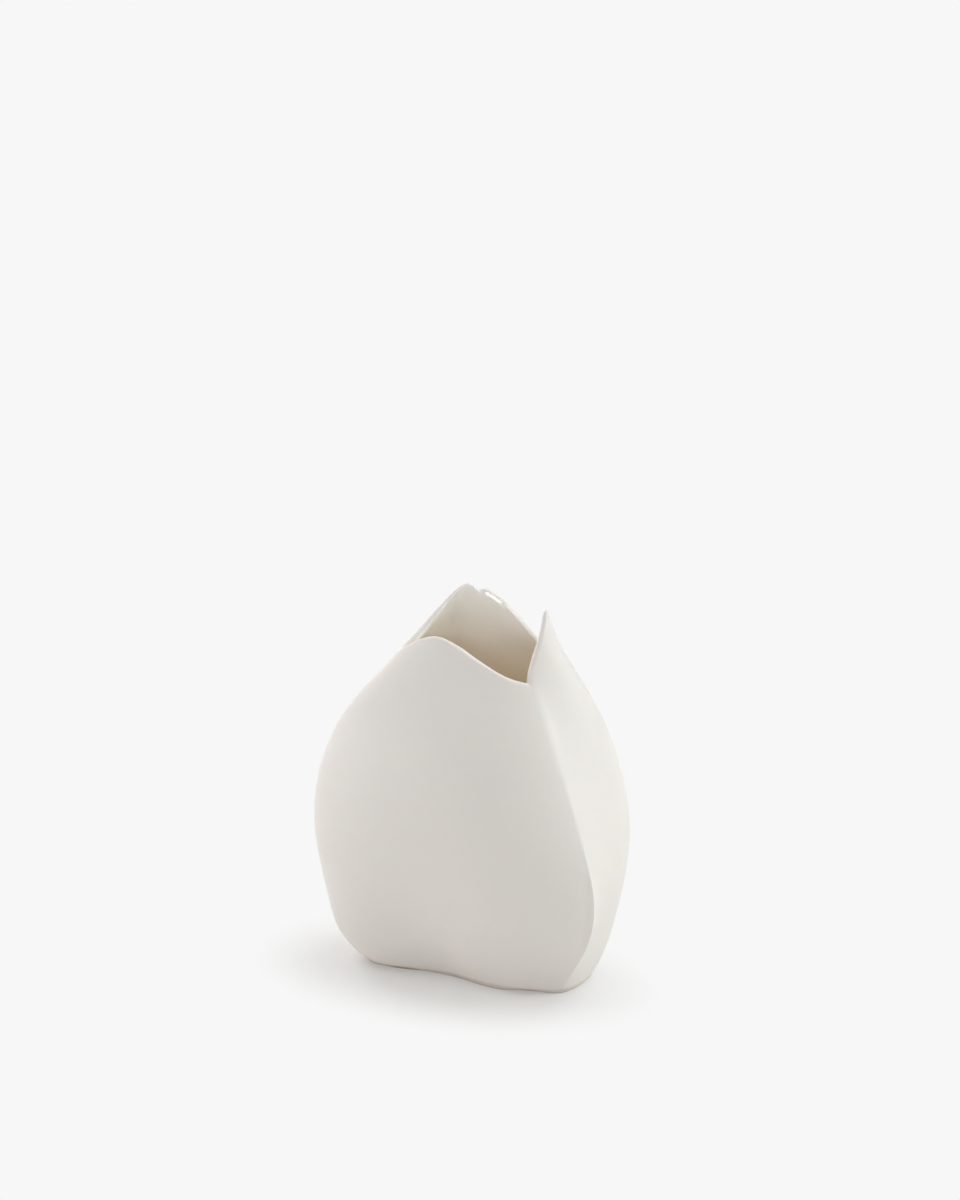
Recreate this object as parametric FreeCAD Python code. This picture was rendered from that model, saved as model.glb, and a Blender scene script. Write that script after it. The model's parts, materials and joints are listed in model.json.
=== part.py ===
import FreeCAD, Part
import math
import os

# Pillow vase: a small porcelain vase folded from three clay leaves that stand on a floor slab.
# The front leaf carries the broad front face and turns round the left end, the side leaf closes
# the right end and rises to a narrow tip, the back leaf stands tallest.  The leaves meet in
# seams that run from the foot to the notches of the mouth.  The inside wears a coat of glaze.
# Millimetres, Z up, the origin on the table under the middle of the foot, front towards -Y.

Vector = FreeCAD.Vector

# Heights
peak_height = 155.4
floor_thickness = 3.6
foot_edge_radius = 0.7
foot_lift = 1.7

# Thickness of the clay at the foot and at the rim, and of the glaze inside
foot_wall = 2.8
rim_wall = 2.0
glaze_thickness = 0.3

# Widest reach of each upright rib of the wall from the vertical axis.  Three seams join the
# leaves: front (front leaf to side leaf), back (side leaf to back leaf) and end (back leaf to
# front leaf, on the round left end).
front_seam_reach = 62.0
side_front_reach = 57.0
side_middle_reach = 57.1
side_back_reach = 55.2
back_seam_reach = 52.0
back_right_reach = 40.5
back_middle_reach = 38.0
back_left_reach = 45.0
back_end_reach = 63.5
end_seam_reach = 69.9
front_end_reach = 62.0
front_left_reach = 41.0
front_middle_reach = 37.8
front_right_reach = 46.0

# How many rows and columns of points carry each wall
wall_rows = 25
wall_columns = 33
floor_rows = 4

# The levels at which every rib names its reach, as shares of the peak height
level_shares = [0, 0.060, 0.151, 0.283, 0.425, 0.566, 0.708, 0.830, 0.927, 1.010]

# A rib is the upright line of the outer wall at one bearing, seen from above and counted
# in degrees from +X towards +Y.  Its reach from the vertical axis at each level is a share of
# its widest reach.  The wall share makes the reach of the inner wall right where the wall
# stands askew to the bearing.

# Seam between the front leaf and the side leaf, with its lowest and sharpest belly
front_seam = dict(
    bearing=-26,
    widest=front_seam_reach,
    wall_share=1.32,
    reach_shares=[0.690, 0.786, 0.926, 1.000, 0.894, 0.742, 0.565, 0.366, 0.205, 0.130],
)

# Ribs of the side leaf
side_front = dict(
    bearing=-10,
    widest=side_front_reach,
    wall_share=1.06,
    reach_shares=[0.772, 0.854, 0.930, 0.995, 0.972, 0.838, 0.662, 0.490, 0.398, 0.355],
)
side_middle = dict(
    bearing=8,
    widest=side_middle_reach,
    wall_share=1.04,
    reach_shares=[0.756, 0.845, 0.918, 0.990, 1.000, 0.916, 0.767, 0.580, 0.456, 0.420],
)
side_back = dict(
    bearing=25,
    widest=side_back_reach,
    wall_share=1.08,
    reach_shares=[0.690, 0.790, 0.880, 0.978, 1.000, 0.924, 0.765, 0.560, 0.430, 0.370],
)

# Seam between the side leaf and the back leaf
back_seam = dict(
    bearing=42,
    widest=back_seam_reach,
    wall_share=1.15,
    reach_shares=[0.600, 0.731, 0.856, 0.962, 1.000, 0.942, 0.769, 0.519, 0.365, 0.288],
)

# Ribs of the back leaf
back_right = dict(
    bearing=70,
    widest=back_right_reach,
    wall_share=1.08,
    reach_shares=[0.531, 0.691, 0.840, 0.975, 1.000, 0.938, 0.753, 0.519, 0.395, 0.333],
)
back_middle = dict(
    bearing=95,
    widest=back_middle_reach,
    wall_share=1.03,
    reach_shares=[0.526, 0.684, 0.842, 0.974, 1.000, 0.934, 0.750, 0.526, 0.408, 0.329],
)
back_left = dict(
    bearing=130,
    widest=back_left_reach,
    wall_share=1.20,
    reach_shares=[0.578, 0.711, 0.867, 0.982, 1.000, 0.933, 0.756, 0.544, 0.418, 0.344],
)
back_end = dict(
    bearing=158,
    widest=back_end_reach,
    wall_share=1.20,
    reach_shares=[0.646, 0.772, 0.890, 0.976, 1.000, 0.937, 0.756, 0.520, 0.386, 0.291],
)

# Seam between the back leaf and the front leaf, on the round left end
end_seam = dict(
    bearing=192,
    widest=end_seam_reach,
    wall_share=2.05,
    reach_shares=[0.656, 0.822, 0.907, 0.979, 1.000, 0.931, 0.761, 0.524, 0.365, 0.258],
)

# Ribs of the front leaf
front_end = dict(
    bearing=207,
    widest=front_end_reach,
    wall_share=1.20,
    reach_shares=[0.726, 0.881, 0.961, 1.000, 0.997, 0.911, 0.726, 0.500, 0.347, 0.242],
)
front_left = dict(
    bearing=240,
    widest=front_left_reach,
    wall_share=1.18,
    reach_shares=[0.560, 0.705, 0.856, 0.976, 1.000, 0.927, 0.720, 0.451, 0.305, 0.220],
)
front_middle = dict(
    bearing=280,
    widest=front_middle_reach,
    wall_share=1.06,
    reach_shares=[0.603, 0.750, 0.886, 0.987, 1.000, 0.906, 0.691, 0.423, 0.278, 0.212],
)
front_right = dict(
    bearing=310,
    widest=front_right_reach,
    wall_share=1.14,
    reach_shares=[0.682, 0.800, 0.924, 1.000, 0.983, 0.848, 0.643, 0.412, 0.304, 0.217],
)

# A leaf is a row of ribs, their places along the leaf, the height of its rim and the lift of
# its foot edge.  Rim heights are shares of the peak height.  The foot edge lifts off the table
# between each pair of lift shares, where there are any.
# The round end is where two leaves pass into each other without a fold; the rib beyond it
# gives the direction in which the wall crosses that seam.
side_leaf = dict(
    ribs=[front_seam, side_front, side_middle, side_back, back_seam],
    place_shares=[0, 0.26, 0.50, 0.75, 1],
    rim_shares=[
        (0, 0.807), (0.10, 0.836), (0.20, 0.872), (0.30, 0.912), (0.40, 0.949), (0.50, 0.973),
        (0.57, 0.966), (0.66, 0.936), (0.75, 0.904), (0.87, 0.864), (1, 0.842),
    ],
    lift_shares=[],
    rib_before=None,
    rib_after=None,
)
back_leaf = dict(
    ribs=[back_seam, back_right, back_middle, back_left, back_end, end_seam],
    place_shares=[0, 0.18, 0.30, 0.48, 0.72, 1],
    rim_shares=[
        (0, 0.842), (0.05, 0.878), (0.10, 0.905), (0.20, 0.944), (0.30, 0.972), (0.40, 0.986),
        (0.46, 0.985), (0.52, 0.999), (0.56, 1.000), (0.61, 0.996), (0.70, 0.970), (0.80, 0.932),
        (0.90, 0.888), (0.95, 0.867), (1, 0.841),
    ],
    lift_shares=[],
    rib_before=None,
    rib_after=front_end,
)
front_leaf = dict(
    ribs=[end_seam, front_end, front_left, front_middle, front_right, front_seam],
    place_shares=[0, 0.15, 0.42, 0.64, 0.82, 1],
    rim_shares=[
        (0, 0.841), (0.05, 0.861), (0.10, 0.880), (0.15, 0.893), (0.20, 0.899), (0.30, 0.895),
        (0.40, 0.883), (0.55, 0.864), (0.70, 0.845), (0.85, 0.823), (1, 0.807),
    ],
    lift_shares=[(0.06, 0.50), (0.76, 1)],
    rib_before=back_end,
    rib_after=None,
)
leaves = dict(side_petal=side_leaf, back_petal=back_leaf, front_petal=front_leaf)

half_share = 0.5
corner_weight = math.sqrt(half_share)

# The step down the wall that shows its slope under the rim, as a share of the rim's thickness
slope_step_share = 0.1

# The foot edge may take at most this share of the clay there
foot_edge_share = 0.8


def curve_through(points, places):
    """A smooth curve that reaches each point at its place."""
    curve = Part.BSplineCurve()
    curve.interpolate(Points=points, Parameters=places)
    return curve


def graph_through(pairs):
    """A smooth graph through pairs of place and value."""
    return curve_through([Vector(place, value, 0) for place, value in pairs], [pair[0] for pair in pairs])


def clay_at(height):
    """Thickness of the clay at one height: thick at the foot, thin at the rim."""
    return foot_wall + (rim_wall - foot_wall) * height / peak_height


def rib_graph(rib):
    """The reach of a rib as a graph over the height."""
    pairs = []
    for level, share in zip(level_shares, rib["reach_shares"]):
        pairs.append((level * peak_height, share * rib["widest"]))
    return graph_through(pairs)


def rib_point(rib, height, inset):
    """The point of a rib at one height, set in from the outer wall."""
    if "graph" not in rib:
        rib["graph"] = rib_graph(rib)
    reach = rib["graph"].value(height).y - inset * rib["wall_share"]
    angle = math.radians(rib["bearing"])
    return Vector(reach * math.cos(angle), reach * math.sin(angle), height)


def end_speed(crossing, near, far, gap):
    """Speed of a level line where it crosses a round end, from the ribs on both sides."""
    direction = crossing.normalize()
    return direction * (far - near).Length / gap


def level_point(leaf, place, height, inset):
    """The point of a leaf's wall at one place along the leaf and one height."""
    points = [rib_point(rib, height, inset) for rib in leaf["ribs"]]
    places = leaf["place_shares"]
    speeds = [Vector(0, 0, 0)] * len(points)
    given = [False] * len(points)
    if leaf["rib_before"]:
        beyond = rib_point(leaf["rib_before"], height, inset)
        speeds[0] = end_speed(points[1] - beyond, points[0], points[1], places[1])
        given[0] = True
    if leaf["rib_after"]:
        beyond = rib_point(leaf["rib_after"], height, inset)
        gap = places[-1] - places[-2]
        speeds[-1] = end_speed(beyond - points[-2], points[-2], points[-1], gap)
        given[-1] = True
    level = Part.BSplineCurve()
    level.interpolate(Points=points, Parameters=places, Tangents=speeds, TangentFlags=given, Scale=False)
    return level.value(place)


def shares_up_to_one(count):
    """Evenly spaced shares from nought to one."""
    return [index / (count - 1) for index in range(count)]


def rim_graph(leaf):
    """Height of the leaf's edge, where the rounding of the rim begins."""
    rounding = rim_wall * half_share
    return graph_through([(place, share * peak_height - rounding) for place, share in leaf["rim_shares"]])


def lift_at(leaf, place):
    """Lift of the leaf's foot edge off the table at one place along the leaf."""
    for start, end in leaf["lift_shares"]:
        if start < place < end:
            return foot_lift * math.sin(math.pi * (place - start) / (end - start)) ** 2
    return 0


def row_at(leaf, heights, insets):
    """A row of wall points along the leaf, one for each column."""
    places = shares_up_to_one(wall_columns)
    return [level_point(leaf, *spot) for spot in zip(places, heights, insets)]


def surface_along(rows, upright_poles):
    """A surface whose rows are smooth along the leaf; another function gives its upright poles."""
    places = shares_up_to_one(wall_columns)
    rows = [curve_through(row, places).getPoles() for row in rows]
    columns = [upright_poles([row[index] for row in rows]) for index in range(len(rows[0]))]
    return columns, places


def end_knots(count):
    """How often each knot of a cubic through evenly spaced points is counted."""
    return [4] + [1] * (count - 2) + [4]


def wall_surface(rows):
    """A wall through rows of points, smooth both along the leaf and upwards."""
    levels = shares_up_to_one(len(rows))
    columns, places = surface_along(rows, lambda column: curve_through(column, levels).getPoles())
    surface = Part.BSplineSurface()
    surface.buildFromPolesMultsKnots(
        columns, end_knots(wall_columns), end_knots(len(rows)), places, levels, False, False, 3, 3)
    return surface


def strip_surface(rows):
    """A straight strip between two rows of points."""
    columns, places = surface_along(rows, lambda column: column)
    surface = Part.BSplineSurface()
    surface.buildFromPolesMultsKnots(
        columns, end_knots(wall_columns), [2, 2], places, [0, 1], False, False, 3, 1)
    return surface


def round_surface(rows):
    """A rounded strip: every other row lies on it, the rows between pull its quarter turns."""
    columns, places = surface_along(rows, lambda column: column)
    turns = len(rows) // 2
    weights = [[corner_weight if index % 2 else 1.0 for index in range(len(rows))]] * len(columns)
    turn_counts = [3] + [2] * (turns - 1) + [3]
    surface = Part.BSplineSurface()
    surface.buildFromPolesMultsKnots(
        columns, end_knots(wall_columns), turn_counts, places, shares_up_to_one(turns + 1),
        False, False, 3, 2, weights)
    return surface


def wall_between(leaf, bottoms, tops, rows, inset_at):
    """The wall of a leaf from one row of heights to another, at a depth that varies with height."""
    grid = []
    for share in shares_up_to_one(rows):
        heights = [low + (high - low) * share for low, high in zip(bottoms, tops)]
        grid.append(row_at(leaf, heights, [inset_at(height) for height in heights]))
    return wall_surface(grid)


def no_depth(height):
    """The outer skin of the clay."""
    return 0


def glaze_depth(height):
    """Depth of the inner skin of the glaze."""
    return clay_at(height) + glaze_thickness


def foot_rounding():
    """Radius of the foot edge, held inside the clay."""
    return min(foot_edge_radius, foot_edge_share * foot_wall)


def leaf_heights(leaf):
    """The rows of heights that bound the walls of a leaf."""
    places = shares_up_to_one(wall_columns)
    edges = [rim_graph(leaf).value(place).y for place in places]
    lifts = [lift_at(leaf, place) for place in places]
    feet = [lift + foot_rounding() for lift in lifts]
    return edges, lifts, feet


def rim_surface(leaf, edges):
    """The rounded rim, carried from the outer wall over to the inner wall."""
    rows = []
    for inset_at in (no_depth, clay_at):
        edge = row_at(leaf, edges, [inset_at(height) for height in edges])
        lower_heights = [height - slope_step_share * rim_wall for height in edges]
        lower = row_at(leaf, lower_heights, [inset_at(height) for height in lower_heights])
        lifted = []
        for point, below in zip(edge, lower):
            slope = (point - below).normalize()
            lifted.append(point + slope * rim_wall * half_share)
        rows.append([edge, lifted])
    outer, inner = rows
    crown = [(one + other) * half_share for one, other in zip(outer[1], inner[1])]
    return round_surface([outer[0], outer[1], crown, inner[1], inner[0]])


def foot_rows(leaf, lifts, feet):
    """The rows that round the foot edge, and the row where the flat underside begins."""
    nought = [0] * wall_columns
    return [
        row_at(leaf, feet, nought),
        row_at(leaf, lifts, nought),
        row_at(leaf, lifts, [foot_rounding()] * wall_columns),
    ]


def seam_face(surfaces, side):
    """The flat face that closes a leaf at one of its seams."""
    edges = [surface.uIso(side).toShape() for surface in surfaces]
    return Part.Face(Part.Wire(Part.__sortEdges__(edges)))


def closed_solid(faces):
    """One solid from the faces that bound it."""
    shell = Part.makeShell(faces)
    shell.sewShape()
    solid = Part.makeSolid(Part.Shell(shell.Faces))
    if solid.Volume < 0:
        solid.reverse()
    return solid


def inner_walls(leaf):
    """The inner wall of a leaf below and above the top of the floor slab."""
    edges = leaf_heights(leaf)[0]
    table = [0] * wall_columns
    floor = [floor_thickness] * wall_columns
    low = wall_between(leaf, table, floor, floor_rows, clay_at)
    high = wall_between(leaf, floor, edges, wall_rows, clay_at)
    return low, high


def petal(leaf):
    """One clay leaf: outer wall, rounded rim, inner wall, underside, foot edge and two seams."""
    edges, lifts, feet = leaf_heights(leaf)
    outer = wall_between(leaf, feet, edges, wall_rows, no_depth)
    rim = rim_surface(leaf, edges)
    low, high = leaf["inner"]
    foot = foot_rows(leaf, lifts, feet)
    table = [0] * wall_columns
    inner_foot = row_at(leaf, table, [clay_at(0)] * wall_columns)
    surfaces = [outer, rim, high, low, strip_surface([foot[-1], inner_foot]), round_surface(foot)]
    faces = [surface.toShape() for surface in surfaces]
    faces.append(seam_face(surfaces, 0))
    faces.append(seam_face(surfaces, 1))
    return closed_solid(faces)


def level_face(surfaces, end):
    """The flat face inside the ring that the lower or upper ends of three walls make."""
    edges = [surface.vIso(end).toShape() for surface in surfaces]
    return Part.Face(Part.Wire(Part.__sortEdges__(edges)))


def base_slab():
    """The floor of the vase, held by the feet of the three leaves."""
    walls = [leaf["inner"][0] for leaf in leaves.values()]
    faces = [wall.toShape() for wall in walls]
    return closed_solid(faces + [level_face(walls, 0), level_face(walls, 1)])


def inner_glaze():
    """The coat of glaze on the inside of the leaves and on the floor."""
    backs = [leaf["inner"][1] for leaf in leaves.values()]
    skins = []
    tops = []
    for leaf in leaves.values():
        edges = leaf_heights(leaf)[0]
        bottom = [floor_thickness + glaze_thickness] * wall_columns
        skins.append(wall_between(leaf, bottom, edges, wall_rows, glaze_depth))
        back_edge = row_at(leaf, edges, [clay_at(height) for height in edges])
        skin_edge = row_at(leaf, edges, [glaze_depth(height) for height in edges])
        tops.append(strip_surface([back_edge, skin_edge]))
    faces = [surface.toShape() for surface in backs + skins + tops]
    return closed_solid(faces + [level_face(backs, 0), level_face(skins, 0)])


for leaf in leaves.values():
    leaf["inner"] = inner_walls(leaf)

parts = {name: petal(leaf) for name, leaf in leaves.items()}
parts["base_slab"] = base_slab()
parts["inner_glaze"] = inner_glaze()

os.makedirs("parts", exist_ok=True)
for name, shape in parts.items():
    shape.exportStep("parts/" + name + ".step")
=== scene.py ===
# %% [markdown]
# A pillow vase in porcelain
#
# This lesson dresses a finished CAD part, so that it looks like the real vase in a photo studio.
# The vase is folded from three clay leaves on a floor of clay, sanded to a satin outside after
# firing, and glazed inside. The CAD part already has every main form and the right size, so
# nothing is made bigger here. What is still missing is what the eye reads as porcelain: one skin
# without joints, soft folds, a thin rounded rim, a pool of glaze in the corner of the floor, and
# good light.

# %% Load the CAD part
import json
import math

import bpy
import numpy as np
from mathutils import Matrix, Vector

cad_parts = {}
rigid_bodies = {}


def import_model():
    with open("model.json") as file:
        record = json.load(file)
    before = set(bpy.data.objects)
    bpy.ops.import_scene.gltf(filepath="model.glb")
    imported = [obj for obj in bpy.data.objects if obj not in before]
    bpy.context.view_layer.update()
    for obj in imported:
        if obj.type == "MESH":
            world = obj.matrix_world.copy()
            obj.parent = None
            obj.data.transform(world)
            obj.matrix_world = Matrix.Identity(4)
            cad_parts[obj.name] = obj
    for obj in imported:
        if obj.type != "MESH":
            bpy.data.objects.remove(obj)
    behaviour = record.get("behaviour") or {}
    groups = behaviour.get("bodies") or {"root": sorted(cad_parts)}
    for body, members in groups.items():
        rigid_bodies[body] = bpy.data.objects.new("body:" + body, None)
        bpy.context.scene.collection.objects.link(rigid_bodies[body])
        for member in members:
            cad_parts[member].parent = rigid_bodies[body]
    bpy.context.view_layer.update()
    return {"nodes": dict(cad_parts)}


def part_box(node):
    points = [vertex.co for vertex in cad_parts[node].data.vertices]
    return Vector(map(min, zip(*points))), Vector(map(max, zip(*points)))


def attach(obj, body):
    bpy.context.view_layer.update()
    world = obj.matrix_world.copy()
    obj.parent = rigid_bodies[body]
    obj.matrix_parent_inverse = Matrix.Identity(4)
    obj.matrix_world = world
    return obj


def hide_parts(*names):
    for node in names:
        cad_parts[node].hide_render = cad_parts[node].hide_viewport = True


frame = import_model()

MM = 0.001
LEAVES = ["front_petal", "side_petal", "back_petal"]

for name in LEAVES + ["base_slab", "inner_glaze"]:
    low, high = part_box(name)
    print(name, [round((b - a) / MM, 1) for a, b in zip(low, high)], "mm")

# %% [markdown]
# Measuring the wall
#
# Someone who measures a real vase cuts a paper template for its outline, one for each direction.
# The same is done here: the CAD leaves are cut by an upright half plane that turns round the
# middle of the vase, one cut every two degrees. Each cut gives short lines, and at any height the
# outermost line is the outside of the wall and the innermost one its inside. Two degrees is
# chosen because all three seams between the leaves then fall exactly on a cut.
#
# First the meshes are read. Each CAD node is a mesh of triangles, so three corners say it all.

# %% Read the CAD meshes
def triangles(names):
    """The corners of all faces of some CAD nodes, in millimetres."""
    parts = []
    for name in names:
        mesh = frame["nodes"][name].data
        places = np.zeros(len(mesh.vertices) * 3)
        mesh.vertices.foreach_get("co", places)
        mesh.calc_loop_triangles()
        corners = np.zeros(len(mesh.loop_triangles) * 3, int)
        mesh.loop_triangles.foreach_get("vertices", corners)
        parts.append(places.reshape(-1, 3)[corners].reshape(-1, 3, 3) / MM)
    return np.concatenate(parts)


leaf_corners = triangles(LEAVES)
print("triangles of the leaves:", len(leaf_corners))

# %% [markdown]
# A triangle that the half plane crosses gives one short line. The plane is turned aside by a
# hair, so that it never runs exactly along an edge of the mesh, where a crossing is undecided.

# %% Cut them into upright sections
COLUMN_DEGREES = 2
COLUMNS = 360 // COLUMN_DEGREES
ASIDE_DEGREES = 0.004


def section(corners, degrees):
    """The short lines that an upright half plane cuts: rows of (reach, height, reach, height)."""
    angle = math.radians(degrees + ASIDE_DEGREES)
    ahead = corners[..., 0] * math.cos(angle) + corners[..., 1] * math.sin(angle)
    aside = corners[..., 1] * math.cos(angle) - corners[..., 0] * math.sin(angle)
    crossed = (aside.min(1) < 0) & (aside.max(1) >= 0) & (ahead.max(1) > 0)
    ahead, aside, height = ahead[crossed], aside[crossed], corners[crossed][..., 2]
    lines = np.zeros((len(ahead), 4))
    found = np.zeros(len(ahead), int)
    for first, second in ((0, 1), (1, 2), (2, 0)):
        here = (aside[:, first] < 0) != (aside[:, second] < 0)
        share = aside[here, first] / (aside[here, first] - aside[here, second])
        end = found[here] * 2
        rows = np.where(here)[0]
        lines[rows, end] = ahead[here, first] + share * (ahead[here, second] - ahead[here, first])
        lines[rows, end + 1] = height[here, first] + share * (height[here, second] - height[here, first])
        found[rows] += 1
    return lines[found == 2]


def crossings(lines, value, along):
    """Where the lines of a section cross one height (along=1) or one reach (along=0)."""
    start, end = lines[:, along], lines[:, along + 2]
    hit = (np.minimum(start, end) <= value) & (np.maximum(start, end) > value)
    share = (value - start[hit]) / (end[hit] - start[hit])
    other = 1 - along
    return lines[hit, other] + share * (lines[hit, other + 2] - lines[hit, other])


def outside(lines, height):
    """Reach of the outer wall at one height."""
    return crossings(lines, height, 1).max()


def inside(lines, height):
    """Reach of the inner wall at one height."""
    return crossings(lines, height, 1).min()


bearings = np.arange(COLUMNS) * COLUMN_DEGREES
sections = [section(leaf_corners, degrees) for degrees in bearings]
print(len(sections), "sections of about", len(sections[0]), "lines each")

# %% [markdown]
# The rim and its wiped lip
#
# The rim is rounded with a wet sponge, so its last millimetre is half an ellipse. Beside the
# highest point of the back leaf the sponge also took the inner edge away at a slant. This small
# bevel faces the camera and throws back the light of the strip lamp: it is the bright streak that
# the photo shows inside the mouth. Its slope is even, because only a flat bevel shines all over
# at once. The rows of the mesh lie closer together near the rim, where the shape changes fast.

# %% Shape the rim
RIM_ROUNDING = 1.05
RIM_TURNS = 8
LIP_BEARING, LIP_HALF_WIDTH = 102, 26
LIP_DEPTH = 3.0
LIP_BEVEL = 1.5
LIP_TAPER = 8
ROW_PACKING = 2


def rim_rows(outer, crown, inner):
    """The rim's rounding: half an ellipse from the outer wall over the crown to the inner wall."""
    turns = np.arange(1, RIM_TURNS) / RIM_TURNS * math.pi
    middle = (outer + inner) / 2
    return [middle + (outer - middle) * math.cos(t) + (crown - middle) * math.sin(t) for t in turns]


def lip(degrees, height, peak):
    """How much is wiped off the inner edge of the back leaf's rim at one bearing and height."""
    across = min(1.0, max(0.0, (LIP_HALF_WIDTH - abs(degrees - LIP_BEARING)) / LIP_TAPER))
    up = max(0.0, 1 - (peak - height) / LIP_DEPTH)
    return LIP_BEVEL * math.sin(across * math.pi / 2) ** 2 * up


def packed(high, low, count):
    """Heights from a high one down to a low one, close together at the high end."""
    return high + (low - high) * np.linspace(0, 1, count) ** ROW_PACKING


print("wiped off at the middle of the lip:", lip(LIP_BEARING, 0, 0), "mm")

# %% [markdown]
# Reading the templates
#
# Each section is now read off at chosen heights, from the middle of the underside up the outer
# wall, over the rim and down the inner wall to the floor. Under the foot the lines are read along
# the reach instead, so that the two stretches where the foot's edge lifts off the table are kept.

# %% Read the wall off the sections
FOOT_TOP = 2.6
FLOOR_HEIGHT = 3.6
JUST_INSIDE = 0.01
UNDERSIDE_SHARES = [0.85, 0.95]
FOOT_SHARES = [0, 0.25, 0.45, 0.54, 0.60, 0.66, 0.72, 0.78, 0.87]
FLOOR_SHARES = [0.98, 0.92, 0.8]
OUTER_ROWS = 46
INNER_ROWS = 40


def clay_profile(lines, degrees):
    """The whole outline of the clay at one bearing, from the middle of the underside to the floor."""
    peak = lines[:, 1::2].max()
    crown_reach = lines[:, 0::2].ravel()[lines[:, 1::2].argmax()]
    crown = np.array([crown_reach + lip(degrees, peak, peak) / 2, peak])
    end = peak - RIM_ROUNDING
    foot_in, foot_out = inside(lines, JUST_INSIDE), outside(lines, FOOT_TOP)
    rows = [(share * foot_in, 0.0) for share in UNDERSIDE_SHARES]
    for share in FOOT_SHARES:
        reach = foot_in + JUST_INSIDE + (foot_out - foot_in) * share
        rows.append((reach, max(0.0, crossings(lines, reach, 0).min())))
    rows += [(outside(lines, height), height) for height in np.linspace(FOOT_TOP, end, OUTER_ROWS)]
    inner_wall = [(inside(lines, height) + lip(degrees, height, peak), height)
                  for height in packed(end, FLOOR_HEIGHT, INNER_ROWS)]
    rows += [tuple(row) for row in rim_rows(np.array(rows[-1]), crown, np.array(inner_wall[0]))]
    rows += inner_wall
    return rows + [(rows[-1][0] * share, FLOOR_HEIGHT) for share in FLOOR_SHARES]


clay_rows = np.array([clay_profile(*pair) for pair in zip(sections, bearings)]).transpose(1, 0, 2)
OUTER_START = len(UNDERSIDE_SHARES) + len(FOOT_SHARES)
OUTER_END = OUTER_START + OUTER_ROWS
print("rows of the clay body:", len(clay_rows), "rim from", clay_rows[..., 1].max(0).min().round(1),
      "to", clay_rows[..., 1].max().round(1), "mm")

# %% [markdown]
# One skin for the clay
#
# On the real vase the leaves are pressed together wet and the seams are rubbed over, so the fired
# body has one skin. A potter starts from a flat slab of clay, and so does this piece: a grid with
# a column for each bearing and a row for each height is rolled up until each corner lies on the
# measured wall. Extruding rings one by one would give the same mesh in a hundred steps. The two
# ends of the slab are then welded, and the two open rings in the middle are filled.
#
# First come small helpers. An operator acts on all that is selected, so each one starts by
# selecting nothing, and then only the corners that it should change.

# %% Helpers for picking corners
def take_up(piece):
    """Selects one piece and nothing else."""
    bpy.ops.object.select_all(action="DESELECT")
    piece.select_set(True)
    bpy.context.view_layer.objects.active = piece


def choose(piece, corners):
    """Selects those corners of a piece, and the edges and faces between them, in edit mode."""
    take_up(piece)
    bpy.ops.object.mode_set(mode="EDIT")
    bpy.ops.mesh.select_mode(type="VERT")
    bpy.ops.mesh.select_all(action="DESELECT")
    bpy.ops.object.mode_set(mode="OBJECT")
    piece.data.vertices.foreach_set("select", corners)
    bpy.ops.object.mode_set(mode="EDIT")
    bpy.ops.mesh.select_mode(type="VERT")


def numbers(piece, label):
    """The row or column number of each corner."""
    found = np.zeros(len(piece.data.vertices), int)
    piece.data.attributes[label].data.foreach_get("value", found)
    return found


def heights_of(piece):
    """The height of each corner in millimetres."""
    places = np.zeros(len(piece.data.vertices) * 3)
    piece.data.vertices.foreach_get("co", places)
    return places[2::3] / MM


# %% Roll a flat grid into a vase
WELD_WITHIN = 0.001
RING_QUARTER = COLUMNS // 4


def rolled_sheet(name, rows):
    """A grid rolled up so that each of its corners lands on its measured reach and height."""
    bpy.ops.object.select_all(action="DESELECT")
    bpy.ops.mesh.primitive_grid_add(x_subdivisions=COLUMNS, y_subdivisions=len(rows) - 1, calc_uvs=False)
    sheet = bpy.context.object
    sheet.name = sheet.data.name = name
    column = np.tile(np.arange(COLUMNS + 1) % COLUMNS, (len(rows), 1))
    row = np.repeat(np.arange(len(rows)), COLUMNS + 1).reshape(column.shape)
    reach, height = rows[row, column].transpose(2, 0, 1) * MM
    angle = np.radians(bearings[column])
    places = np.stack([reach * np.cos(angle), reach * np.sin(angle), height], -1)
    sheet.data.vertices.foreach_set("co", places.ravel())
    for label, values in (("row", row), ("column", column)):
        sheet.data.attributes.new(label, "INT", "POINT").data.foreach_set("value", values.ravel())
    bpy.ops.object.mode_set(mode="EDIT")
    bpy.ops.mesh.select_all(action="SELECT")
    bpy.ops.mesh.remove_doubles(threshold=WELD_WITHIN * MM)
    bpy.ops.object.mode_set(mode="OBJECT")
    for edge_row in (0, len(rows) - 1):
        choose(sheet, numbers(sheet, "row") == edge_row)
        bpy.ops.mesh.fill_grid(span=RING_QUARTER)
        bpy.ops.mesh.select_all(action="SELECT")
        bpy.ops.mesh.normals_make_consistent(inside=False)
        bpy.ops.object.mode_set(mode="OBJECT")
    print(name, len(sheet.data.vertices), "corners,", len(sheet.data.polygons), "faces")
    return sheet


clay_body = rolled_sheet("clay_body", clay_rows)

# %% [markdown]
# Soft and crisp folds
#
# The fold between the front leaf and the side leaf is crisp in its lower part, where the clay was
# pressed between two boards, and soft near the mouth, where a damp finger went over it. An edge
# crease tells the subdivision how much of a fold to keep. Where the fold is soft, the crease is
# left off and the corners round it are smoothed. The rows of the lip and of the floor's corner
# stay as they were measured, because smoothing would melt them away.

# %% Smooth the wall
FRONT_SEAM_BEARING, BACK_SEAM_BEARING = 334, 42
FRONT_SEAM = FRONT_SEAM_BEARING // COLUMN_DEGREES
BACK_SEAM = BACK_SEAM_BEARING // COLUMN_DEGREES
SMOOTHING = 0.5
SMOOTH_STEPS = 2
LIP_ROWS = 7
CORNER_ROWS = 3
SOFT_STEPS = 5
SOFT_FROM, SOFT_TO = 90, 120
SOFT_COLUMNS = 2

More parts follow.
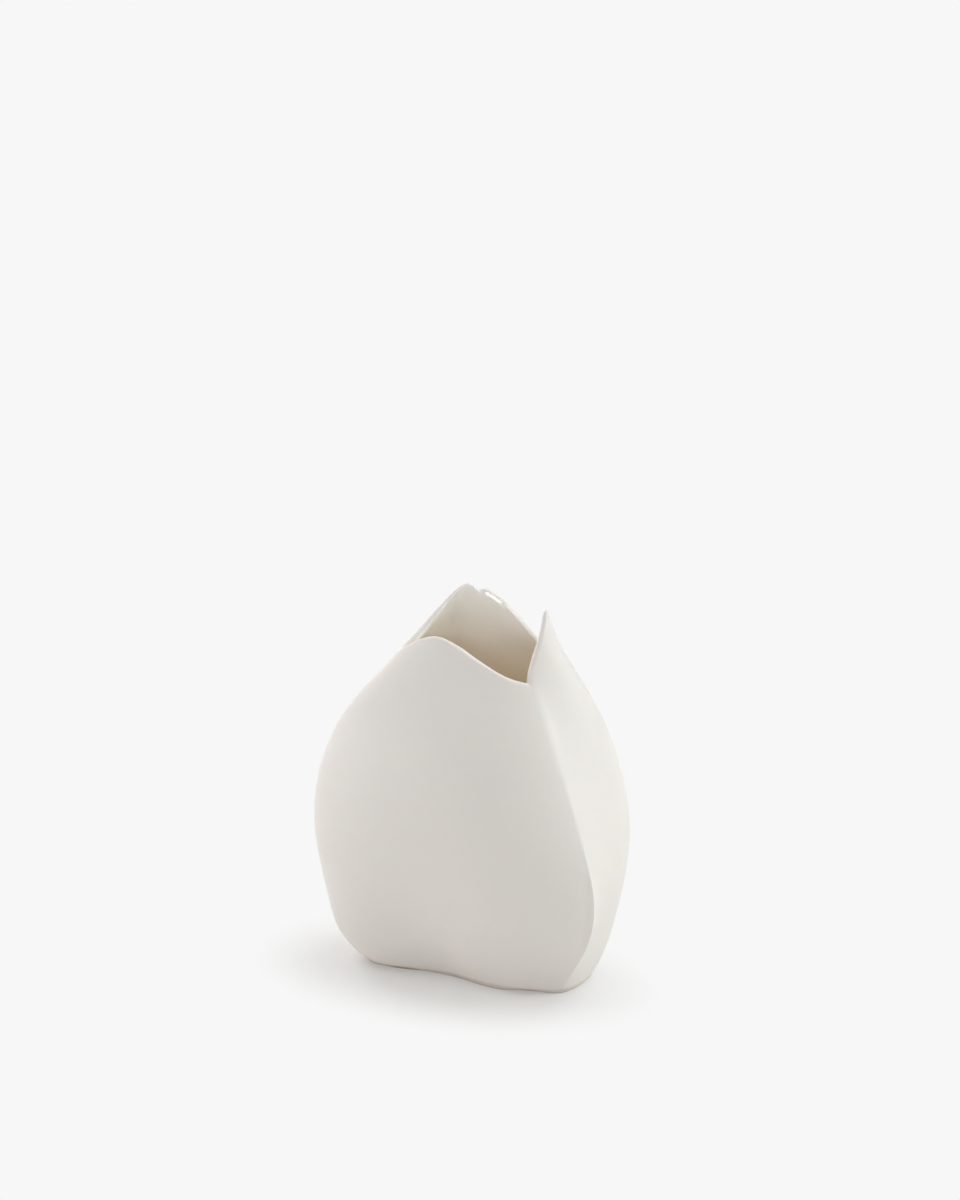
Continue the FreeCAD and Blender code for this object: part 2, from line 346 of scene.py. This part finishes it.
row, column, height = numbers(clay_body, "row"), numbers(clay_body, "column"), heights_of(clay_body)
outer_wall = (row >= OUTER_START) & (row < OUTER_END)
inner_start = OUTER_END + RIM_TURNS
inner_wall = (row > inner_start + LIP_ROWS) & (row < inner_start + INNER_ROWS - CORNER_ROWS)
on_seam = (column == FRONT_SEAM) | (column == BACK_SEAM)

choose(clay_body, (outer_wall | inner_wall) & ~on_seam)
bpy.ops.mesh.vertices_smooth(factor=SMOOTHING, repeat=SMOOTH_STEPS)
bpy.ops.object.mode_set(mode="OBJECT")

near_seam = outer_wall & (abs(column - FRONT_SEAM) <= SOFT_COLUMNS)
choose(clay_body, near_seam & (height > SOFT_FROM) & (height < SOFT_TO))
bpy.ops.mesh.vertices_smooth(factor=SMOOTHING, repeat=SOFT_STEPS)
bpy.ops.object.mode_set(mode="OBJECT")
print("corners smoothed:", int(((outer_wall | inner_wall) & ~on_seam).sum()))

# %% Crease the folds
CRISP_FOLD, HALF_FOLD = 0.75, 0.4
CRISP_TO = 84

for seam, from_height, to_height, fold in (
    (FRONT_SEAM, 0, CRISP_TO, CRISP_FOLD),
    (FRONT_SEAM, CRISP_TO, SOFT_FROM, HALF_FOLD),
    (BACK_SEAM, 0, SOFT_FROM, HALF_FOLD),
):
    folded = outer_wall & (column == seam) & (height > from_height) & (height < to_height)
    choose(clay_body, folded)
    bpy.ops.transform.edge_crease(value=fold)
    bpy.ops.object.mode_set(mode="OBJECT")
    print("fold of", fold, "on", int(folded.sum()), "corners")

# %% [markdown]
# Two marks of the hand are left. Where the clay was pressed over the edge of a board, a shallow
# groove runs beside the lower fold. And no rolled slab is even: the wall sinks in by up to 0.3 of
# a millimetre, here and there over a few centimetres. A texture of soft clouds stands for that,
# and it only moves the wall inwards, so that the vase never outgrows the CAD part.

# %% Groove and unevenness
GROOVE_FROM, GROOVE_TO = 22, 56
GROOVE_DEPTH = 0.45
UNEVENNESS = 0.3
SWELL_SIZE = 34
FADE_ROWS = 4

beside = outer_wall & (column == FRONT_SEAM - 1) & (height > GROOVE_FROM) & (height < GROOVE_TO)
choose(clay_body, beside)
bpy.ops.transform.shrink_fatten(value=-GROOVE_DEPTH * MM)
bpy.ops.object.mode_set(mode="OBJECT")

swell = bpy.data.textures.new("swell", "CLOUDS")
swell.noise_scale = SWELL_SIZE * MM
swell.noise_depth = 1
outside_of_wall = clay_body.vertex_groups.new(name="outside_of_wall")
for index in np.where(outer_wall)[0]:
    depth = min(row[index] - OUTER_START, OUTER_END - row[index]) / FADE_ROWS
    outside_of_wall.add([int(index)], min(1.0, depth), "REPLACE")
take_up(clay_body)
modifier = clay_body.modifiers.new("Unevenness", "DISPLACE")
modifier.texture, modifier.vertex_group = swell, outside_of_wall.name
modifier.mid_level, modifier.strength = 1.0, UNEVENNESS * MM
bpy.ops.object.modifier_apply(modifier=modifier.name)
print("corners in the groove:", int(beside.sum()), "and on the uneven wall:", int(outer_wall.sum()))

# %% [markdown]
# The glaze is wiped off along the middle of the rim, so its inner half shines and its outer half
# is sanded. Each face gets a number for its finish while the rows are still known.

# %% Mark the finishes
SANDED, GLAZED = 0, 1
RIM_GLAZE_ROWS = 7

corners = np.zeros(len(clay_body.data.loops), int)
clay_body.data.loops.foreach_get("vertex_index", corners)
face_row = row[corners.reshape(-1, 4)].min(1)
rim_glazed = (face_row >= OUTER_END + RIM_TURNS // 2) & (face_row < inner_start + RIM_GLAZE_ROWS)
finish = np.where(rim_glazed, GLAZED, SANDED)
clay_body.data.attributes.new("finish", "INT", "FACE").data.foreach_set("value", finish)
print("faces sanded, glazed:", np.bincount(finish))

# %% [markdown]
# Subdivision rounds the mesh the way sanding rounds clay. One level is enough, because the grid
# is already fine; each further level makes four times as many faces. Faces that meet at less than
# the fold angle are shaded as one smooth surface.

# %% Subdivide and shade
ROUNDING_LEVELS = 1
FOLD_DEGREES = 28


def subdivided(piece):
    """Applies a Subdivision Surface modifier and shades the piece smooth."""
    take_up(piece)
    modifier = piece.modifiers.new("Rounding", "SUBSURF")
    modifier.levels = modifier.render_levels = ROUNDING_LEVELS
    bpy.ops.object.modifier_apply(modifier=modifier.name)
    bpy.ops.object.shade_smooth_by_angle(angle=math.radians(FOLD_DEGREES))
    print(piece.name, len(piece.data.polygons) * 2, "triangles")


subdivided(clay_body)
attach(clay_body, "root")
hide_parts(*LEAVES, "base_slab")

# %% [markdown]
# The liner glaze
#
# A vase for water is glazed inside: glaze is poured in, swirled and poured out. It lies about 0.3
# mm thick, runs out to nothing at the rim, and gathers in the corner of the floor. The piece is
# made like the body, as a rolled grid, but as a thin closed shell: up the glazed side and down
# again on the clay. The pool in the corner is a smooth curve that leaves the floor flat and meets
# the wall upright.

# %% Roll the glaze
GLAZE_THICKNESS = 0.3
FEATHER = 4.0
FEATHER_SHARE = 0.9
GLAZE_ROWS = 44
POOL = 4.0
POOL_TURNS = 5
POOL_KEPT_ROWS = 2

glaze_corners = triangles(["inner_glaze"])
glaze_sections = [section(glaze_corners, degrees) for degrees in bearings]


def glaze_profile(lines, degrees):
    """The outline of the glaze at one bearing: floor, pool, wall, and back down on the clay."""
    end = lines[:, 1::2].max() - 2 * JUST_INSIDE
    peak = end + RIM_ROUNDING
    floor = FLOOR_HEIGHT + GLAZE_THICKNESS
    corner = np.array([inside(lines, floor + POOL) - POOL, floor])
    start = np.array([inside(lines, floor + POOL), floor + POOL])
    rows = [(corner[0] * share, floor) for share in FLOOR_SHARES[::-1]] + [tuple(corner)]
    bend = np.array([start[0], floor])
    for turn in np.arange(1, POOL_TURNS) / POOL_TURNS:
        rows.append(tuple((1 - turn) ** 2 * corner + 2 * turn * (1 - turn) * bend + turn ** 2 * start))
    for height in packed(end, floor + POOL, GLAZE_ROWS)[::-1]:
        front, back = inside(lines, height), outside(lines, height)
        thin = max(0.0, 1 - (end - height) / FEATHER)
        rows.append((front + (back - front) * FEATHER_SHARE * thin, height))
    clay_side = packed(end, FLOOR_HEIGHT + JUST_INSIDE, GLAZE_ROWS)
    rows += [(outside(lines, height), height) for height in clay_side]
    rows += [(rows[-1][0] * share, FLOOR_HEIGHT) for share in FLOOR_SHARES]
    return [(reach + lip(degrees, height, peak), height) for reach, height in rows]


glaze_rows = np.array([glaze_profile(*pair) for pair in zip(glaze_sections, bearings)]).transpose(1, 0, 2)
liner_glaze = rolled_sheet("liner_glaze", glaze_rows)
glaze_row = numbers(liner_glaze, "row")
pool_rows = len(FLOOR_SHARES) + POOL_TURNS
wall_rows = (glaze_row > pool_rows + POOL_KEPT_ROWS) & (glaze_row < pool_rows + GLAZE_ROWS - LIP_ROWS)
choose(liner_glaze, wall_rows)
bpy.ops.mesh.vertices_smooth(factor=SMOOTHING, repeat=SMOOTH_STEPS)
bpy.ops.object.mode_set(mode="OBJECT")
subdivided(liner_glaze)
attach(liner_glaze, "root")
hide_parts("inner_glaze")

# %% [markdown]
# Materials
#
# A material is a tree of nodes. One small function adds a node with its settings and links, and
# one turns a hex colour, as a picture editor shows it, into the linear light that shaders count in.

# %% Colours and nodes
def linear(hex_code):
    """An sRGB hex colour as the linear colour that Blender's sockets take."""
    values = [int(hex_code[i:i + 2], 16) / 255 for i in (1, 3, 5)]
    return [v / 12.92 if v <= 0.04045 else ((v + 0.055) / 1.055) ** 2.4 for v in values] + [1.0]


def add_node(tree, kind, settings=None, links=None):
    """Adds a node, sets its properties and inputs, and links its inputs to other outputs."""
    node = tree.nodes.new(kind)
    for key, value in (settings or {}).items():
        if key in node.inputs:
            node.inputs[key].default_value = value
        else:
            setattr(node, key, value)
    for key, output in (links or {}).items():
        tree.links.new(output, node.inputs[key])
    return node


def new_material(name):
    """An empty material with its output node."""
    material = bpy.data.materials.new(name)
    material.use_nodes = True
    material.node_tree.nodes.clear()
    return material, add_node(material.node_tree, "ShaderNodeOutputMaterial")


print("half grey is", [round(value, 3) for value in linear("#808080")])

# %% [markdown]
# Painted shade under the foot
#
# The underside is painted brown as shade: it stands for the dark shadow line under the foot, not
# for a tint of the clay. The painted shade is full where the clay faces down and lies low, and fades
# out where it turns up into the wall, so that the dark line under the foot has a soft edge.

# %% Painted shade under the foot
UNDER_SHADE_STARTS, UNDER_SHADE_FULL = -0.35, -0.8
UNDER_SHADE_TOP, UNDER_SHADE_FADE = 3.0, 0.8


def painted_shade_share(tree, place):
    """How much painted brown shade the clay takes: full under the foot, nothing where it faces sideways or
    lies higher.
    """
    facing = add_node(tree, "ShaderNodeSeparateXYZ", {}, {"Vector": place.outputs["Normal"]})
    height = add_node(tree, "ShaderNodeSeparateXYZ", {}, {"Vector": place.outputs["Object"]})
    below = add_node(tree, "ShaderNodeMapRange", {"From Min": UNDER_SHADE_STARTS, "From Max": UNDER_SHADE_FULL},
                     {"Value": facing.outputs["Z"]})
    low = add_node(tree, "ShaderNodeMapRange", {
        "From Min": UNDER_SHADE_TOP * MM, "From Max": (UNDER_SHADE_TOP - UNDER_SHADE_FADE) * MM,
    }, {"Value": height.outputs["Z"]})
    both = add_node(tree, "ShaderNodeMath", {"operation": "MULTIPLY"},
                    {0: below.outputs["Result"], 1: low.outputs["Result"]})
    return both.outputs[0]


# %% [markdown]
# Sanded porcelain
#
# The outside is unglazed porcelain, sanded with fine paper after firing. That gives the eye a matt,
# warm white with a soft sheen and no sharp reflection. Three things make it: a fine grain in the
# bump, a sheen that changes over a few centimetres where hands rubbed it more or less, and a
# little light that sinks into the clay and comes out again warmer.

# %% Sanded porcelain
PORCELAIN_IOR = 1.5
# Real sanding marks are a tenth as wide; these are as coarse as they need to be to show.
GRAIN_SIZE, GRAIN_DEPTH, GRAIN_DETAIL = 0.8, 0.012, 3
RUB_SIZE, RUB_DETAIL = 22, 2
RUB_SOFTEST, RUB_SHINIEST = 0.58, 0.42
SUNK_SHARE, SUNK_DEPTH, SUNK_COLOUR = 0.25, 2.0, (1.0, 0.75, 0.5)
# The brown is painted shade for the dark shadow line under the foot, not a colour of the clay.
BARE_CLAY, PAINTED_SHADE_BROWN = "#EBE6E2", "#B7A28E"

sanded_porcelain, output = new_material("sanded_porcelain")
tree = sanded_porcelain.node_tree
place = add_node(tree, "ShaderNodeTexCoord")
grain = add_node(tree, "ShaderNodeTexNoise", {"Scale": 1 / (GRAIN_SIZE * MM), "Detail": GRAIN_DETAIL},
                 {"Vector": place.outputs["Object"]})
rub = add_node(tree, "ShaderNodeTexNoise", {"Scale": 1 / (RUB_SIZE * MM), "Detail": RUB_DETAIL},
               {"Vector": place.outputs["Object"]})
sheen = add_node(tree, "ShaderNodeMapRange", {"To Min": RUB_SHINIEST, "To Max": RUB_SOFTEST},
                 {"Value": rub.outputs["Fac"]})
bump = add_node(tree, "ShaderNodeBump", {"Distance": GRAIN_DEPTH * MM}, {"Height": grain.outputs["Fac"]})
# Painted brown shade is mixed into the clay colour under the foot.
colour = add_node(tree, "ShaderNodeMix", {"data_type": "RGBA"}, {"Factor": painted_shade_share(tree, place)})
colour.inputs["A"].default_value, colour.inputs["B"].default_value = linear(BARE_CLAY), linear(PAINTED_SHADE_BROWN)
shader = add_node(tree, "ShaderNodeBsdfPrincipled", {
    "IOR": PORCELAIN_IOR,
    "Subsurface Weight": SUNK_SHARE, "Subsurface Radius": SUNK_COLOUR, "Subsurface Scale": SUNK_DEPTH * MM,
}, {
    "Base Color": colour.outputs["Result"], "Roughness": sheen.outputs["Result"],
    "Normal": bump.outputs["Normal"],
})
tree.links.new(shader.outputs["BSDF"], output.inputs["Surface"])
print(sanded_porcelain.name, len(tree.nodes), "nodes")

# %% [markdown]
# Clear glaze
#
# The inside is a clear, glossy glaze, poured and fired on the same clay. It gives the eye a clean
# white with a sharp reflection, such as the streak along the wiped lip. The real wall is thin
# enough to let a little daylight through, which makes the inside warmer the deeper one looks.
# A very faint warm glow of the glaze stands for that light.

# %% Glaze, and which piece takes what
GLAZE_ROUGHNESS = 0.07
WALL_GLOW = 0.02

clear_glaze, output = new_material("clear_glaze_on_porcelain")
tree = clear_glaze.node_tree
shader = add_node(tree, "ShaderNodeBsdfPrincipled", {
    "Base Color": linear("#FAF8F4"), "Roughness": GLAZE_ROUGHNESS, "IOR": PORCELAIN_IOR,
    "Emission Color": linear("#FFD084"), "Emission Strength": WALL_GLOW,
})
tree.links.new(shader.outputs["BSDF"], output.inputs["Surface"])


def give(piece, *materials):
    """Gives a piece its materials; where there are several, its faces say which one they take."""
    piece.data.materials.clear()
    for material in materials:
        piece.data.materials.append(material)
    if len(materials) > 1:
        finish = np.zeros(len(piece.data.polygons), int)
        piece.data.attributes["finish"].data.foreach_get("value", finish)
        piece.data.polygons.foreach_set("material_index", finish)
    print(piece.name, "is given", [material.name for material in materials])


give(clay_body, sanded_porcelain, clear_glaze)
give(liner_glaze, clear_glaze)
for name, node in frame["nodes"].items():
    give(node, clear_glaze if name == "inner_glaze" else sanded_porcelain)

# %% [markdown]
# The table
#
# The vase stands on a pale table that runs on into the background. In the photo the background is
# one even near-white, and the table shows only in an oval round the foot, where the vase shades
# it. The table is therefore plain matt paper inside that oval. Farther out it fades to the even
# tone, and a third of that tone is mixed in everywhere, so that the shadow stays as light as in
# the photo. The tone shows only to rays from the camera, in reflections and through glass, so no
# extra light falls on the vase.

# %% Table
STAGE_SIZE = 14.0
SHADOW_MIDDLE = (-8, -14)
SHADOW_REACH = (58, 38)
PAPER_SHOWS_TO, PAPER_GONE_AT = 0.6, 1.55
TABLE_GLOW = 0.32

bpy.ops.object.select_all(action="DESELECT")
bpy.ops.mesh.primitive_plane_add(size=STAGE_SIZE)
table_top = bpy.context.object
table_top.name = "table_top"

pale_paper, output = new_material("pale_paper")
tree = pale_paper.node_tree
paper = add_node(tree, "ShaderNodeBsdfDiffuse", {"Color": linear("#E0DDD9")})
even = add_node(tree, "ShaderNodeEmission", {"Color": linear("#F7F7F7"), "Strength": 1.0})
place = add_node(tree, "ShaderNodeTexCoord")
oval = add_node(tree, "ShaderNodeMapping", {
    "Location": [-middle / reach for middle, reach in zip(SHADOW_MIDDLE, SHADOW_REACH)] + [0],
    "Scale": [1 / (reach * MM) for reach in SHADOW_REACH] + [0],
}, {"Vector": place.outputs["Object"]})
distance = add_node(tree, "ShaderNodeVectorMath", {"operation": "LENGTH"}, {0: oval.outputs["Vector"]})
fade = add_node(tree, "ShaderNodeMapRange", {
    "From Min": PAPER_SHOWS_TO, "From Max": PAPER_GONE_AT, "To Min": TABLE_GLOW,
    "interpolation_type": "SMOOTHSTEP",
}, {"Value": distance.outputs["Value"]})
path = add_node(tree, "ShaderNodeLightPath")
seen = add_node(tree, "ShaderNodeMath", {"operation": "MAXIMUM"},
                {0: path.outputs["Is Camera Ray"], 1: path.outputs["Is Glossy Ray"]})
seen = add_node(tree, "ShaderNodeMath", {"operation": "MAXIMUM"},
                {0: seen.outputs[0], 1: path.outputs["Is Transmission Ray"]})
share = add_node(tree, "ShaderNodeMath", {"operation": "MULTIPLY"},
                 {0: fade.outputs["Result"], 1: seen.outputs[0]})
mix = add_node(tree, "ShaderNodeMixShader", {},
               {0: share.outputs[0], 1: paper.outputs[0], 2: even.outputs[0]})
tree.links.new(mix.outputs[0], output.inputs["Surface"])
give(table_top, pale_paper)

# %% [markdown]
# The lights
#
# The light is that of a white tent with seven soft boxes and a narrow strip round it. The
# strongest boxes stand on the right and behind, so that the side leaf is the brightest and the
# broad front stays a calm grey. Those on the right are a trace cooler, as daylight from a window
# is. Two low boxes light the left edge, as a bright table does. The strip stands just where the
# wiped lip throws its light into the camera.

# %% Lights
TENT_STRENGTH = 0.09
LAMP_DISTANCE = 3.0
LAMP_HEIGHT = 0.08
BOX_SIZE = (1.6, 1.6)
LOW_SIZE = (1.6, 0.9)
STRIP_SIZE = (2.1, 0.16)
DAYLIGHT, NEUTRAL = (0.955, 1.0, 0.99), (1.0, 1.0, 1.0)
# Each lamp: bearing and rise in degrees, watts, size in metres, and colour.
LAMPS = {
    "right_box": (10, 25, 45, BOX_SIZE, DAYLIGHT),
    "high_right_box": (60, 55, 34, BOX_SIZE, DAYLIGHT),
    "front_right_box": (325, 25, 10, BOX_SIZE, DAYLIGHT),
    "back_left_box": (140, 25, 30, BOX_SIZE, NEUTRAL),
    "high_left_box": (180, 55, 30, BOX_SIZE, NEUTRAL),
    "low_left_box": (190, 8, 15, LOW_SIZE, NEUTRAL),
    "low_front_box": (225, 8, 16, LOW_SIZE, NEUTRAL),
    "front_strip": (281, 18, 12, STRIP_SIZE, NEUTRAL),
}

world = bpy.data.worlds.new("white_tent")
world.use_nodes = True
bpy.context.scene.world = world
world.node_tree.nodes["Background"].inputs["Color"].default_value = (1, 1, 1, 1)
world.node_tree.nodes["Background"].inputs["Strength"].default_value = TENT_STRENGTH

for name, (bearing, rise, watts, size, colour) in LAMPS.items():
    lamp = bpy.data.lights.new(name, "AREA")
    lamp.shape, lamp.energy, lamp.color = "RECTANGLE", watts, colour
    lamp.size, lamp.size_y = size
    box = bpy.data.objects.new(name, lamp)
    bpy.context.scene.collection.objects.link(box)
    around, up = math.radians(bearing), math.radians(rise)
    box.location = (LAMP_DISTANCE * math.cos(up) * math.cos(around),
                    LAMP_DISTANCE * math.cos(up) * math.sin(around),
                    LAMP_HEIGHT + LAMP_DISTANCE * math.sin(up))
    box.rotation_euler = (math.radians(90) - up, 0, around + math.radians(90))
    print(name, [round(v, 2) for v in box.location])

# %% [markdown]
# The camera
#
# The camera looks down at the vase from the photo's angle with a long lens, as product photos
# are taken, so that near and far edges keep about the same size. It is aimed near the top of the
# rim, because the photo has the vase in its lower half. Light is followed for 16 bounces: each
# bounce inside a white vase loses little, so with fewer the mouth would look too dark.

# %% Camera
CAMERA_AZIMUTH = 22.0
CAMERA_ELEVATION = 18.8
CAMERA_DISTANCE = 1400
LENS = 108
SENSOR_WIDTH = 36
NEAREST_SEEN = 0.01
AIM_HEIGHT = 153.2
AIM_ASIDE = -2.8
LIGHT_BOUNCES = 16

azimuth, elevation = math.radians(CAMERA_AZIMUTH), math.radians(CAMERA_ELEVATION)
aim = np.array([AIM_ASIDE * math.cos(azimuth), AIM_ASIDE * math.sin(azimuth), AIM_HEIGHT])
back = np.array([math.sin(azimuth) * math.cos(elevation), -math.cos(azimuth) * math.cos(elevation),
                 math.sin(elevation)])
camera_data = bpy.data.cameras.new("camera")
camera = bpy.data.objects.new("camera", camera_data)
bpy.context.scene.collection.objects.link(camera)
bpy.context.scene.camera = camera
camera_data.lens = LENS
camera_data.sensor_width = SENSOR_WIDTH
camera_data.clip_start = NEAREST_SEEN
camera.location = (aim + back * CAMERA_DISTANCE) * MM
camera.rotation_euler = (math.radians(90) - elevation, 0, azimuth)
print("camera at", [round(v, 3) for v in camera.location])

bpy.context.scene.view_settings.view_transform = "Standard"
bpy.context.scene.cycles.max_bounces = bpy.context.scene.cycles.diffuse_bounces = LIGHT_BOUNCES
